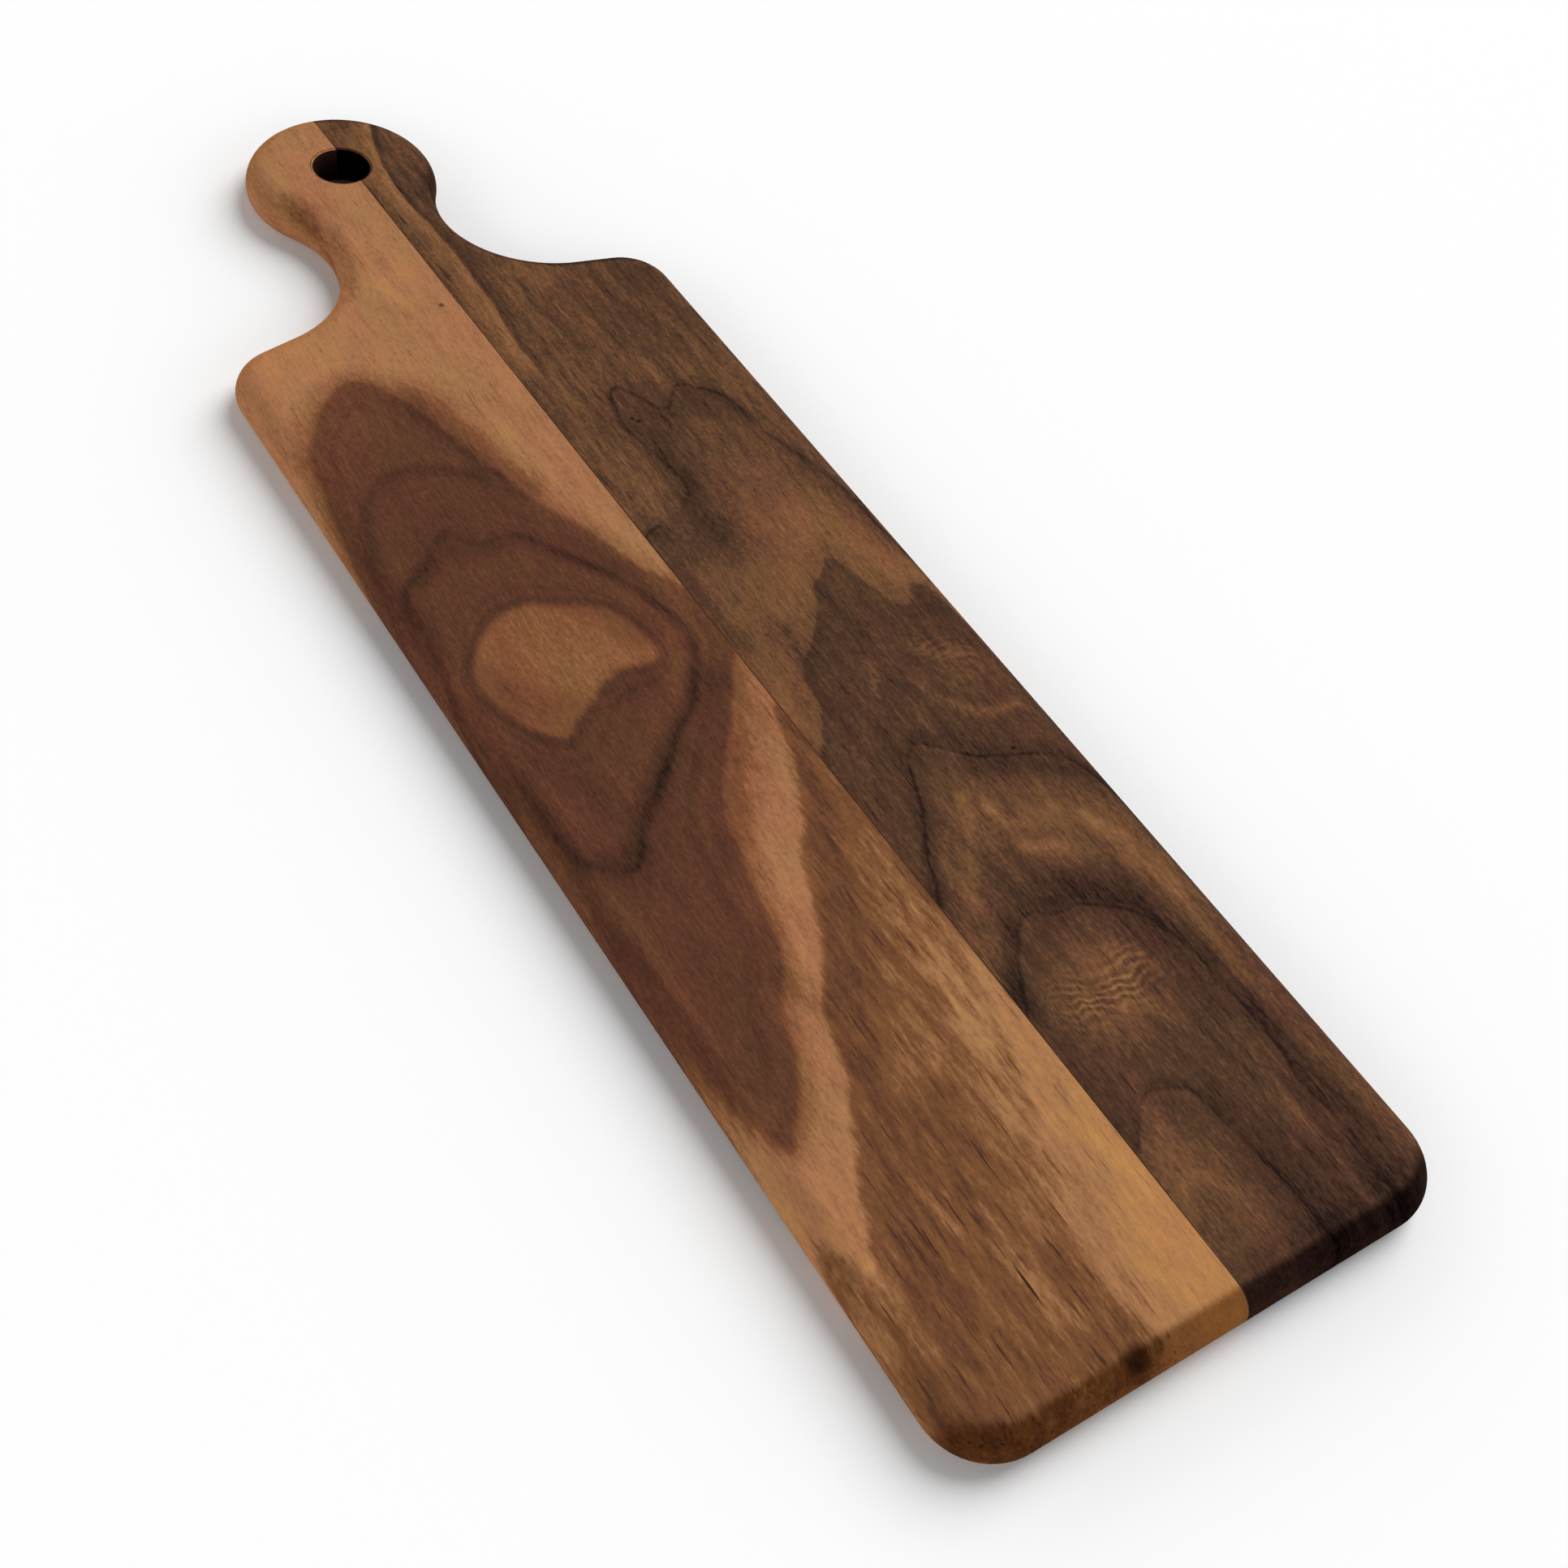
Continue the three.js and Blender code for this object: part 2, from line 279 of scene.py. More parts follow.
RIGHT_STROKES_WITH_PAINTED_SHADE_AND_HIGHLIGHT = (
    # on the handle
    # painted shade on the right side of the knob
    ([(25, 207), (22, 198)], 5, -0.09),
    ([(29, 218), (28, 205), (22, 194)], 4, -0.06),
    # painted highlight on the rounded edge of the right neck's hollow
    ([(28, 150), (38, 143)], 6, 0.06),
    ([(8, 205), (8, 165)], 3, 0.03),
    ([(4, 188), (4.5, 150), (6, 120)], 2, -0.02),
    ([(35, 135), (36, 112)], 1.2, 0.04),
    ([(31, 130), (32, 112)], 1, 0.03),
    ([(15.5, 188), (16, 158)], 2.2, -0.02),
    ([(50, 105)], 14, -0.025),
    # in the light wood
    ([(31, 62), (31, 48), (27, 32), (25, 20), (26, 8)], 6, -0.065),
    ([(8, 20), (16, 18), (26, 18)], 7, -0.05),
    ([(6, 10), (6, -8), (7, -24)], 3, -0.06),
    ([(43, 72), (53, 64)], 7, -0.05),
    ([(14, -28), (22, -22)], 7, -0.03),
    ([(55, 8), (62, -15)], 10, 0.03),
    ([(38, 13), (47, 14)], 8, 0.04),
    ([(20, -36), (22, -28)], 5, -0.06),
    ([(13, -45), (12, -54)], 4, -0.05),
    ([(8, -44), (6, -58)], 3, 0.02),
    # arcs in the dark wood
    ([(60, -60)], 10, 0.045),
    ([(23, -76)], 7, -0.02),
    ([(11, -72), (12, -80)], 4, 0.03),
    ([(44, -20)], 5, 0.035),
    ([(52, -45), (55, -50), (60, -54), (66, -55)], 1.8, 0.05),
    ([(50, -69), (53, -73), (57, -76.5), (62, -78), (67, -77.5)], 1.6, 0.1),
    ([(45, -57), (47, -63), (50, -69)], 1.3, 0.05),
    ([(31.5, -57), (34, -53), (38, -47)], 1.5, 0.06),
    # in the upper arch
    ([(35, -95)], 7, 0.02),
    ([(42, -92), (52, -96), (62, -101), (70, -108)], 4, -0.07),
    ([(25, -115), (24, -128)], 6, -0.055),
    ([(33, -122), (36, -132)], 4, -0.03),
    ([(22, -117), (26, -112), (30, -104), (32, -99)], 1.6, 0.08),
    ([(36, -104), (37, -110), (42, -114)], 1.8, 0.09),
    ([(38, -121), (47, -125)], 1.8, 0.09),
    ([(9, -123), (10, -134)], 4, -0.06),
    ([(29, -82), (22, -98), (14, -113), (9, -122)], 3, -0.035),
    ([(10, -133), (17, -121)], 1.5, 0.05),
    ([(14, -132), (20, -120)], 1, 0.04),
    ([(12, -122), (19, -107)], 1.2, 0.04),
    ([(59, -120), (65, -131), (66.5, -150)], 3, 0.07),
    ([(52, -113), (61, -123)], 4.5, 0.05),
    # in the lower arches
    ([(42, -136), (51, -138), (57, -146)], 6, -0.07),
    ([(7, -155), (8, -175), (7, -200)], 5, -0.045),
    ([(36, -205), (38, -225), (40, -245)], 4, -0.03),
    # painted shade along the right plank's near rounding
    ([(8, -246), (68, -246)], 5, -0.06),
    ([(44, -218), (45, -246)], 5, -0.045),
    ([(50, -155), (52, -184)], 5, -0.06),
    ([(12, -211), (18, -194)], 6, 0.05),
    ([(19, -171), (22, -180)], 4, 0.03),
    ([(66, -214), (66, -244)], 6, -0.03),
    ([(54, -185), (55, -245)], 6, -0.03),
    ([(58.5, -178), (58.5, -246)], 3, 0.065),
    ([(62, -190), (64, -230)], 6, -0.05),
    ([(52, -236), (58, -240)], 10, -0.055),
    ([(70, -165), (70, -205)], 4, -0.04),
    ([(44, -190), (46, -206)], 4, -0.03),
    ([(24, -167), (35, -162), (33, -174)], 8, 0.07),
    ([(42, -175), (42.5, -200)], 1.2, 0.05),
    ([(50, -215), (50, -248)], 1.5, 0.05),
    ([(47, -222), (47, -246)], 1, 0.03),
    ([(66, -150), (66, -208)], 1.6, 0.05),
    ([(44, -163), (47, -172)], 1.2, 0.05),
    ([(8, -229), (10, -222), (14, -219.5), (18, -222), (20, -230)], 1.3, 0.05),
    ([(14, -210), (13, -218)], 5, 0.03),
    ([(28, -226), (29, -245)], 5, -0.05),
    ([(25, -186)], 7, 0.03),
    # painted shade along the right edge's rounding
    ([(75, 112), (75, -232)], 3.5, -0.07),
)
# Where the fibres ripple: the line that each patch follows, its half width, and how strong the ripples are
CURL_STROKES = (
    ([(22, -167), (30, -169), (39, -164)], 7, 1.2),
    ([(24, -112), (34, -108)], 7, 0.12),
    ([(56, -48), (64, -55)], 5, 0.5),
)
# Pin knots, short splits and a smudge on the near edge: where, half width, half length and strength
LEFT_KNOTS = (
    (-2.4, 143.0, 1.3, 1.3, 0.7),
    (-38.5, -223.5, 0.6, 9.0, 0.9),
    (-27.0, -251.0, 5.5, 6.0, 0.75),
    (-20.5, -250.5, 2.5, 4.0, 0.45),
)
RIGHT_KNOTS = (
    (26.7, 71.1, 1.0, 1.1, 0.9),
    (27.9, 69.4, 1.2, 1.0, 0.9),
    (56.0, -91.0, 1.1, 0.8, 1.0),
    (16.5, -192.0, 0.4, 6.0, 0.8),
)
# The dark middle of a knot, as a share of its size
KNOT_CORE = 0.3

# The ripples' spacing, the line left of which they lean, how steeply, and how strong they are
CURL_STEP = 0.0028
CURL_BEND = 0.03
CURL_LEAN = 0.35
CURL_DEPTH = 0.085
# How far the ripples wander, in radians, by marks of a size across and along the grain in metres
CURL_SWAY = 24.0
CURL_SWAY_SIZE = (0.008, 0.014)
CURL_SHIVER = 6.0
CURL_SHIVER_SIZE = (0.003, 0.004)
# A ripple's level and contrast, the part of each wave that is its crest, and where ripples break off
CURL_LEVEL = 0.15
CURL_CONTRAST = 1.4
CURL_CREST = (-0.6, 1.0)
CURL_BREAK_SIZE = (0.005, 0.003)
CURL_BREAK_SPAN = (0.3, 0.55)

# Painted shade in the hanging hole: how dark its wall is, and the share of its softened mouth that counts
# as wall
BORE_PAINTED_SHADE = -0.45
WOOD_PAINTED_SHADE_EDGE = 0.125
GLUE_PAINTED_SHADE_EDGE = 0.25

# How light the wood is at each ring value, from 0 to 1, and how strongly it is streaked there
LEFT_TONES = (
    (0.0, 0.51, 0.09), (0.7, 0.51, 0.09), (1.0, 0.485, 0.09), (1.3, 0.48, 0.09), (1.65, 0.50, 0.09),
    (2.0, 0.475, 0.09), (2.3, 0.485, 0.09), (2.48, 0.48, 0.09), (2.54, 0.50, 0.09), (3.0, 0.515, 0.1),
    (3.25, 0.575, 0.12), (3.5, 0.635, 0.15), (3.9, 0.625, 0.14), (4.02, 0.61, 0.25), (4.3, 0.585, 0.35),
    (4.8, 0.62, 0.4), (5.3, 0.65, 0.4), (5.8, 0.70, 0.4), (6.0, 0.78, 0.3), (6.8, 0.865, 0.25),
)
RIGHT_TONES = (
    (0.2, 0.375, 0.12), (0.4, 0.415, 0.12), (0.7, 0.375, 0.12), (0.95, 0.34, 0.12), (1.05, 0.325, 0.15),
    (1.2, 0.325, 0.2), (1.4, 0.372, 0.2), (1.55, 0.36, 0.2), (1.75, 0.385, 0.2), (1.88, 0.345, 0.2),
    (2.0, 0.32, 0.2), (2.15, 0.33, 0.2), (2.3, 0.385, 0.2), (2.45, 0.42, 0.2), (2.65, 0.41, 0.2),
    (2.85, 0.385, 0.18), (3.0, 0.345, 0.18), (3.5, 0.335, 0.2), (3.9, 0.32, 0.2), (4.0, 0.325, 0.18),
    (4.15, 0.36, 0.16), (4.45, 0.335, 0.16), (4.7, 0.305, 0.16), (4.9, 0.28, 0.18), (5.1, 0.285, 0.28),
    (5.3, 0.30, 0.28), (5.6, 0.29, 0.28),
)
# The handle's scale of tones: its width and the part of it left of the dark line, in millimetres, and the
# share of the rings' sway that moves it
HANDLE_SPAN = 60
HANDLE_BEFORE = 15
HANDLE_SWAY = 0.5
# How light the right half of the handle is, by millimetres to the right of its dark line
HANDLE_TONES = (
    (-12, 0.39), (-10.5, 0.38), (-8.5, 0.4), (-6.5, 0.425), (-6, 0.45), (-5.4, 0.43), (-4.6, 0.46),
    (-4.1, 0.445), (-3.4, 0.49), (-2.8, 0.475), (-2.2, 0.52), (-1.5, 0.505), (-0.9, 0.52), (-0.4, 0.46),
    (0.1, 0.33), (0.8, 0.3), (1.5, 0.315), (2.5, 0.36), (8, 0.385), (15, 0.37), (25, 0.365), (40, 0.355),
)

# Where the colours stand on the scale of tones, above black at 0
LEFT_PALETTE = (
    (0.2, "ring_line"), (0.37, "left_heart"), (0.5, "left_tan"), (0.63, "sapwood"), (0.74, "gold"),
    (0.9, "bright_gold"),
)
RIGHT_PALETTE = (
    (0.2, "ring_line"), (0.355, "right_heart"), (0.48, "right_tan"), (0.63, "sapwood"),
    (0.9, "bright_gold"),
)
BLACK = (0, 0, 0)

# All that sets one plank's wood apart from the other's
Wood = namedtuple(
    "Wood",
    "rings strokes curls tones lines edges knots palette near_end far_end "
    "streak_length fineness handle_lined",
)
LEFT_WOOD = Wood(
    rings=LEFT_FIGURE,
    strokes=LEFT_STROKES_WITH_PAINTED_SHADE_AND_SHEEN,
    curls=(),
    tones=LEFT_TONES,
    lines=LEFT_LINES,
    edges=LEFT_EDGES,
    knots=LEFT_KNOTS,
    palette=LEFT_PALETTE,
    near_end="left_near_end_and_shade",
    far_end="left_far_end",
    streak_length=0.022,
    fineness=0.14,
    handle_lined=False,
)
RIGHT_WOOD = Wood(
    rings=RIGHT_FIGURE,
    strokes=RIGHT_STROKES_WITH_PAINTED_SHADE_AND_HIGHLIGHT,
    curls=CURL_STROKES,
    tones=RIGHT_TONES,
    lines=RIGHT_LINES,
    edges=RIGHT_EDGES,
    knots=RIGHT_KNOTS,
    palette=RIGHT_PALETTE,
    near_end="right_near_end_and_shade",
    far_end="right_far_end_and_shade",
    streak_length=0.05,
    fineness=0.18,
    handle_lined=True,
)

# Marks in the wood: how large they are across and along the grain, in metres
DRIFT_SIZE = (0.012, 0.05)
FEATHER_SIZE = (0.001, 0.009)
BROAD_WIDTH = 0.004
MIDDLING_SIZE = (0.0022, 0.016)
NARROW_SIZE = (0.0012, 0.008)
FIBRE_SIZE = (0.0005, 0.004)
SPECKLE_SIZE = (0.0008, 0.0018)
DASH_SIZE = (0.0009, 0.015)
PORE_SIZE = (0.00025, 0.0025)
DAB_SIZE = (0.0016, 0.004)
FADE_SIZE = (0.008, 0.02)
WARM_SIZE = (0.01, 0.035)
# Noise levels between which the scattered marks come in
DASH_SPAN = (0.62, 0.74)
PORE_SPAN = (0.64, 0.74)
FADE_SPAN = (0.2, 0.6)
WARM_SPAN = (0.35, 0.65)
# How far drifting and feathering move the rings, in millimetres
DRIFT_REACH = 4.0
FEATHER_REACH = 2.2
# Fine bands in each ring, and how strongly the bands, streaks, dashes and dabs change the tone
BANDS_PER_RING = 11.0
BAND_DEPTH = 0.04
BROAD_DEPTH = 0.6
MIDDLING_DEPTH = 0.5
NARROW_DEPTH = 0.5
DASH_DEPTH = -0.35
DAB_DEPTH = 1.6
# Greenish and rosy patches, which fade out where the wood is streaked, and the pores' share of dark
GREEN_TINT = (0.95, 1.0, 0.94)
ROSE_TINT = (1.0, 0.945, 0.98)
PLAIN_SPAN = (0.4, 0.15)
PORE_SHARE = 0.3
# The ends are deepened partly by the oil that end grain soaks up and partly with painted shade
# How squarely a surface faces along the grain to count as end grain, and where near turns to far
END_FACING = (0.04, 0.4)
END_REACH = 0.1
# Roughness and relief of the oiled wood
WOOD_ROUGHNESS = 0.52
NARROW_ROUGHNESS = 0.15
PORE_ROUGHNESS = 0.2
FIBRE_HEIGHT = 0.4
PORE_HEIGHT = -1.0
RELIEF_STRENGTH = 0.5
RELIEF_DEPTH = 0.00006

# The dried glue's mottling and roughness
MOTTLE_SIZE = (0.002, 0.012)
MOTTLE_SHADE = 0.75
GLUE_ROUGHNESS = 0.6
MOTTLE_ROUGHNESS = 0.2

# The floor, the room, the main lamp and the camera
FLOOR_SIZE = 30.0
FLOOR_ROUGHNESS = 0.9
FLOOR_GLOSS = 0.1
WALL_FADE = 0.15
OVERHEAD_SPAN = (0.6, 0.8)
OVERHEAD_DIMMING = 0.9
KEY_PLACE = (0.5, 0.6, 1.5)
KEY_AIM = (-0.95, -0.3, -0.9)
KEY_SOFTNESS = math.radians(45)
SENSOR_WIDTH = 36.0
NEAREST_SEEN = 0.01


def linear(red, green, blue):
    """Turns a colour as seen on a screen, out of 255, into Blender's linear one."""
    screen = (red / 255, green / 255, blue / 255)
    return tuple(c / 12.92 if c <= 0.04045 else ((c + 0.055) / 1.055) ** 2.4 for c in screen)


def length_property(label, description, default):
    """A length of the board, in metres."""
    return FloatProperty(
        name=label, description=description, default=default, subtype="DISTANCE", unit="LENGTH"
    )


def angle_property(label, description, degrees):
    """An angle, given in degrees."""
    return FloatProperty(
        name=label, description=description, default=math.radians(degrees), subtype="ANGLE", unit="ROTATION"
    )


def colour_property(label, description, default):
    """A colour of the wood or the stage."""
    return FloatVectorProperty(
        name=label, description=description, default=default, subtype="COLOR", size=3, min=0, max=1
    )


def level_property(label, description, default):
    """A plain number, such as a brightness."""
    return FloatProperty(name=label, description=description, default=default)


class BoardShape(bpy.types.PropertyGroup):
    """Sizes of the board that the frame's box does not give."""

    near_corner: length_property("Near corner", "Radius of the two corners at the near end", 0.0182)
    shoulder: length_property("Shoulder", "Radius of the two shoulders", 0.0171)
    shoulder_slope: angle_property("Shoulder slope", "How steeply the shoulders rise to the neck", 12)
    neck_width: length_property("Neck width", "Width of the handle at its narrowest", 0.043)
    neck_radius: length_property("Neck radius", "Radius of the hollows beside the neck", 0.0361)
    knob_radius: length_property("Knob radius", "Radius of the handle's round end", 0.0319)
    top_round: length_property("Top round", "Radius of the edge round the serving face", 0.0074)
    bottom_round: length_property("Bottom round", "Radius of the edge round the underside", 0.0048)
    hole_radius: length_property("Hole radius", "Radius of the hanging hole", 0.009525)
    hole_ease: length_property("Hole ease", "Radius of the hole's softened mouths", 0.0008)
    joint_near: length_property("Joint at near end", "How far right of the middle the joint starts", 0.006)
    joint_knob: length_property("Joint at knob", "How far right of the middle the joint ends", 0.0023)
    joint_room: length_property("Joint room", "Room that the glue has between the planks", 0.0003)


class WalnutColours(bpy.types.PropertyGroup):
    """Colours of the oiled walnut."""

    ring_line: colour_property("Ring line", "Darkest wood, where a year's growth ends", linear(44, 30, 26))
    left_heart: colour_property("Left heartwood", "Brown wood of the left plank", linear(94, 59, 44))
    left_tan: colour_property("Left tan", "Streaked wood of the left plank", linear(127, 82, 53))
    sapwood: colour_property("Sapwood", "Pale wood of the handle and the stripe", linear(166, 116, 80))
    gold: colour_property("Gold", "Golden wood beside the joint", linear(187, 132, 80))
    bright_gold: colour_property("Bright gold", "Lightest flecks", linear(204, 156, 102))
    right_heart: colour_property("Right heartwood", "Brown wood of the right plank", linear(87, 60, 45))
    right_tan: colour_property("Right tan", "Lighter wood of the right plank", linear(127, 86, 57))
    pore: colour_property("Pores", "Open pores of the wood", linear(36, 22, 16))
    # The end colours are end grain deepened by oil, and on the near ends and the right plank's far ends
    # painted shade as well
    left_near_end_and_shade: colour_property(
        "Left near end", "How much colour the left plank keeps on its near end", (0.44, 0.37, 0.28)
    )
    left_far_end: colour_property(
        "Left far end", "How much colour the left plank keeps on its far ends", (0.95, 0.9, 0.82)
    )
    right_near_end_and_shade: colour_property(
        "Right near end", "How much colour the right plank keeps on its near end", (0.22, 0.21, 0.27)
    )
    right_far_end_and_shade: colour_property(
        "Right far end", "How much colour the right plank keeps on its far ends", (0.38, 0.36, 0.4)
    )
    glue: colour_property("Glue", "Dried glue in the joint", linear(104, 70, 48))


class StageSet(bpy.types.PropertyGroup):
    """The camera, the lights and the floor."""

    target: FloatVectorProperty(
        name="Target", description="Point on the board that the camera looks at",
        default=(-0.0094, -0.0732, 0.0127), subtype="XYZ", unit="LENGTH",
    )
    distance: length_property("Distance", "From the camera to that point", 0.5641)
    azimuth: angle_property("Azimuth", "How far the camera stands round from the near end", -42.17)
    elevation: angle_property("Elevation", "How far the camera stands above the floor", 50.05)
    roll: angle_property("Roll", "How far the camera is turned about its own line of sight", 12.33)
    lens: FloatProperty(
        name="Lens", description="Focal length in millimetres", default=48.02, subtype="DISTANCE_CAMERA"
    )
    floor: colour_property("Floor", "Colour of the floor", (0.98, 0.98, 0.98))
    wall_level: level_property("Wall level", "Brightness of the room's walls", 1.8)
    wall_height: level_property("Wall height", "How high the walls are, from 0 to 1", 0.4)
    sky_level: level_property("Sky level", "Brightness of the room above the walls", 0.15)
    key_level: level_property("Key level", "Brightness of the main lamp", 2.6)


def start_piece(name, location):
    """Adds a tiny plane and merges it to one point, ready to be drawn out into an outline."""
    bpy.ops.object.select_all(action="DESELECT")
    bpy.ops.mesh.primitive_plane_add(size=FACE_STEP, location=location)
    piece = bpy.context.active_object
    piece.name = name
    piece.data.name = name
    bpy.ops.object.transform_apply(location=True)
    bpy.ops.object.mode_set(mode="EDIT")
    bpy.ops.mesh.select_all(action="SELECT")
    bpy.ops.mesh.merge(type="CENTER")
    return piece


def draw_straight(run):
    """Extrudes the selected point along run in even steps."""
    step_count = max(1, round(run.length / FACE_STEP))
    for _ in range(step_count):
        bpy.ops.mesh.extrude_region_move(TRANSFORM_OT_translate={"value": run / step_count})


def draw_arc(centre, radius, angle):
    """Spins the selected point round centre. A positive angle goes anticlockwise seen from above."""
    step_count = max(1, round(abs(angle) * radius / ARC_STEP))
    bpy.ops.mesh.spin(steps=step_count, angle=angle, center=centre, axis=(0, 0, -1))


def select_faces(piece, wanted):
    """Selects the faces of the piece in edit mode that pass the test, and nothing else."""
    bpy.ops.mesh.select_mode(type="FACE")
    bpy.ops.mesh.select_all(action="DESELECT")
    shape = bmesh.from_edit_mesh(piece.data)
    for face in shape.faces:
        if wanted(face):
            face.select_set(True)
    bmesh.update_edit_mesh(piece.data)


def draw_outline(shape):
    """Draws the right half of the plan at the height of the widest edge, and mirrors and fills it."""
    level = shape.bottom_round
    half_width = BOARD_WIDTH / 2
    knob = Vector((0, KNOB_END - shape.knob_radius, level))
    neck_x = shape.neck_width / 2 + shape.neck_radius
    neck_drop = math.sqrt((shape.knob_radius + shape.neck_radius) ** 2 - neck_x**2)
    neck = knob + Vector((neck_x, -neck_drop, 0))
    slope = shape.shoulder_slope
    reach = shape.neck_radius + shape.shoulder
    shoulder_x = half_width - shape.shoulder
    shoulder_run = shoulder_x - neck_x + reach * math.sin(slope)
    shoulder_y = neck.y - reach * math.cos(slope) - shoulder_run * math.tan(slope)
    shoulder = Vector((shoulder_x, shoulder_y, level))
    corner = Vector((half_width - shape.near_corner, NEAR_END + shape.near_corner, level))
    away = Vector((math.sin(slope), math.cos(slope), 0))
    neck_turn = math.radians(90) - slope + math.atan2(neck_drop, neck_x)

    blank = start_piece("board_blank", (0, NEAR_END, level))
    draw_straight(Vector((corner.x, 0, 0)))
    draw_arc(corner, shape.near_corner, math.radians(90))
    draw_straight(Vector((0, shoulder.y - corner.y, 0)))
    draw_arc(shoulder, shape.shoulder, math.radians(90) - slope)
    draw_straight(neck - away * shape.neck_radius - shoulder - away * shape.shoulder)
    draw_arc(neck, shape.neck_radius, -neck_turn)
    draw_arc(knob, shape.knob_radius, math.radians(90) + math.atan2(neck_drop, neck_x))
    bpy.ops.object.mode_set(mode="OBJECT")
    mirror = blank.modifiers.new("other_half", "MIRROR")
    mirror.merge_threshold = MERGE_DISTANCE
    bpy.ops.object.modifier_apply(modifier=mirror.name)
    bpy.ops.object.mode_set(mode="EDIT")
    bpy.ops.mesh.select_all(action="SELECT")
    bpy.ops.mesh.remove_doubles(threshold=MERGE_DISTANCE)
    bpy.ops.mesh.edge_face_add()
    return blank


def round_over(radius):
    """Insets the selected face row by row, so that its edge becomes a quarter round."""
    angles = [math.radians(90) * row / ROUND_ROWS for row in range(ROUND_ROWS + 1)]
    for low, high in zip(angles, angles[1:]):
        inward = radius * (math.cos(low) - math.cos(high))
        outward = radius * (math.sin(high) - math.sin(low))
        bpy.ops.mesh.inset(thickness=inward, depth=outward, use_even_offset=True)


def thicken(blank, shape):
    """Raises the flat outline to the board's thickness and rounds its upper and lower edges."""
    land = THICKNESS - shape.top_round - shape.bottom_round
    bpy.ops.mesh.extrude_region_move(TRANSFORM_OT_translate={"value": (0, 0, land)})
    bpy.ops.mesh.select_all(action="SELECT")
    bpy.ops.mesh.normals_make_consistent(inside=False)
    select_faces(blank, lambda face: face.normal.z > FACING_UP)
    round_over(shape.top_round)
    select_faces(blank, lambda face: face.normal.z < -FACING_UP and len(face.verts) > QUAD_CORNERS)
    round_over(shape.bottom_round)


def cut_faces_up(blank):
    """Cuts the flat faces into small squares, so that the figure can be written on their corners."""
    select_faces(blank, lambda face: len(face.verts) <= QUAD_CORNERS)
    bpy.ops.mesh.hide()
    half_columns = int(BOARD_WIDTH / 2 / FACE_STEP)
    half_rows = int((KNOB_END - NEAR_END) / 2 / FACE_STEP)
    cuts = [((column * FACE_STEP, 0, 0), (1, 0, 0)) for column in range(-half_columns, half_columns + 1)]
    cuts += [((0, row * FACE_STEP, 0), (0, 1, 0)) for row in range(-half_rows, half_rows + 1)]
    for point, direction in cuts:
        bpy.ops.mesh.select_all(action="SELECT")
        bpy.ops.mesh.bisect(plane_co=point, plane_no=direction)
    bpy.ops.mesh.reveal()
    bpy.ops.object.mode_set(mode="OBJECT")


def widen_mouth(drill, centre, upward, shape):
    """Draws one end of the drill outwards along the softened mouth, and on past the board."""
    select_faces(drill, lambda face: face.normal.z * upward > FACING_UP)
    radius = shape.hole_radius
    for row in range(1, EASE_ROWS + 1):
        angle = math.radians(90) * row / EASE_ROWS
        previous = math.radians(90) * (row - 1) / EASE_ROWS
        rise = shape.hole_ease * (math.sin(angle) - math.sin(previous))
        wider = shape.hole_radius + shape.hole_ease * (1 - math.cos(angle))
        bpy.ops.mesh.extrude_region_move(TRANSFORM_OT_translate={"value": (0, 0, upward * rise)})
        growth = wider / radius
        bpy.ops.transform.resize(value=(growth, growth, 1), center_override=centre)
        radius = wider
    bpy.ops.mesh.extrude_region_move(TRANSFORM_OT_translate={"value": (0, 0, upward * THICKNESS)})


def drill_hole(blank, shape):
    """Cuts the hanging hole through the knob."""
    centre = Vector((0, KNOB_END - shape.knob_radius, THICKNESS / 2))
    bpy.ops.object.select_all(action="DESELECT")
    bpy.ops.mesh.primitive_cylinder_add(
        vertices=HOLE_SIDES, radius=shape.hole_radius, depth=THICKNESS - 2 * shape.hole_ease,
        location=centre,
    )
    drill = bpy.context.active_object
    bpy.ops.object.transform_apply(location=True)
    bpy.ops.object.mode_set(mode="EDIT")
    for upward in (1, -1):
        widen_mouth(drill, centre, upward, shape)
    bpy.ops.object.mode_set(mode="OBJECT")
    bpy.ops.object.select_all(action="DESELECT")
    blank.select_set(True)
    bpy.context.view_layer.objects.active = blank
    cut = blank.modifiers.new("hanging_hole", "BOOLEAN")
    cut.operation = "DIFFERENCE"
    cut.solver = "EXACT"
    cut.object = drill
    bpy.ops.object.modifier_apply(modifier=cut.name)
    bpy.data.objects.remove(drill)


def part_plank(blank, name, side, shape):
    """Copies the blank and keeps what lies on one side of the glued joint, -1 left or 1 right."""
    bpy.ops.object.select_all(action="DESELECT")
    blank.select_set(True)
    bpy.context.view_layer.objects.active = blank
    bpy.ops.object.duplicate()
    plank = bpy.context.active_object
    plank.name = name
    plank.data.name = name
    near = Vector((shape.joint_near, NEAR_END, 0))
    knob = Vector((shape.joint_knob, KNOB_END, 0))
    across = (knob - near).cross(Vector((0, 0, 1))).normalized()
    face_point = near + across * side * shape.joint_room / 2
    bpy.ops.object.mode_set(mode="EDIT")
    bpy.ops.mesh.select_all(action="SELECT")
    bpy.ops.mesh.bisect(
        plane_co=face_point, plane_no=across, use_fill=True, clear_inner=side > 0, clear_outer=side < 0
    )
    bpy.ops.mesh.select_all(action="SELECT")
    bpy.ops.mesh.normals_make_consistent(inside=False)
    bpy.ops.object.mode_set(mode="OBJECT")
    bpy.ops.object.shade_smooth_by_angle(angle=SMOOTH_ANGLE)
    return plank


def plate(distance):
    """Height of a thin plate at a distance from the point that lifts it."""
    return distance**2 * np.log(np.maximum(distance, LEAST_DISTANCE))


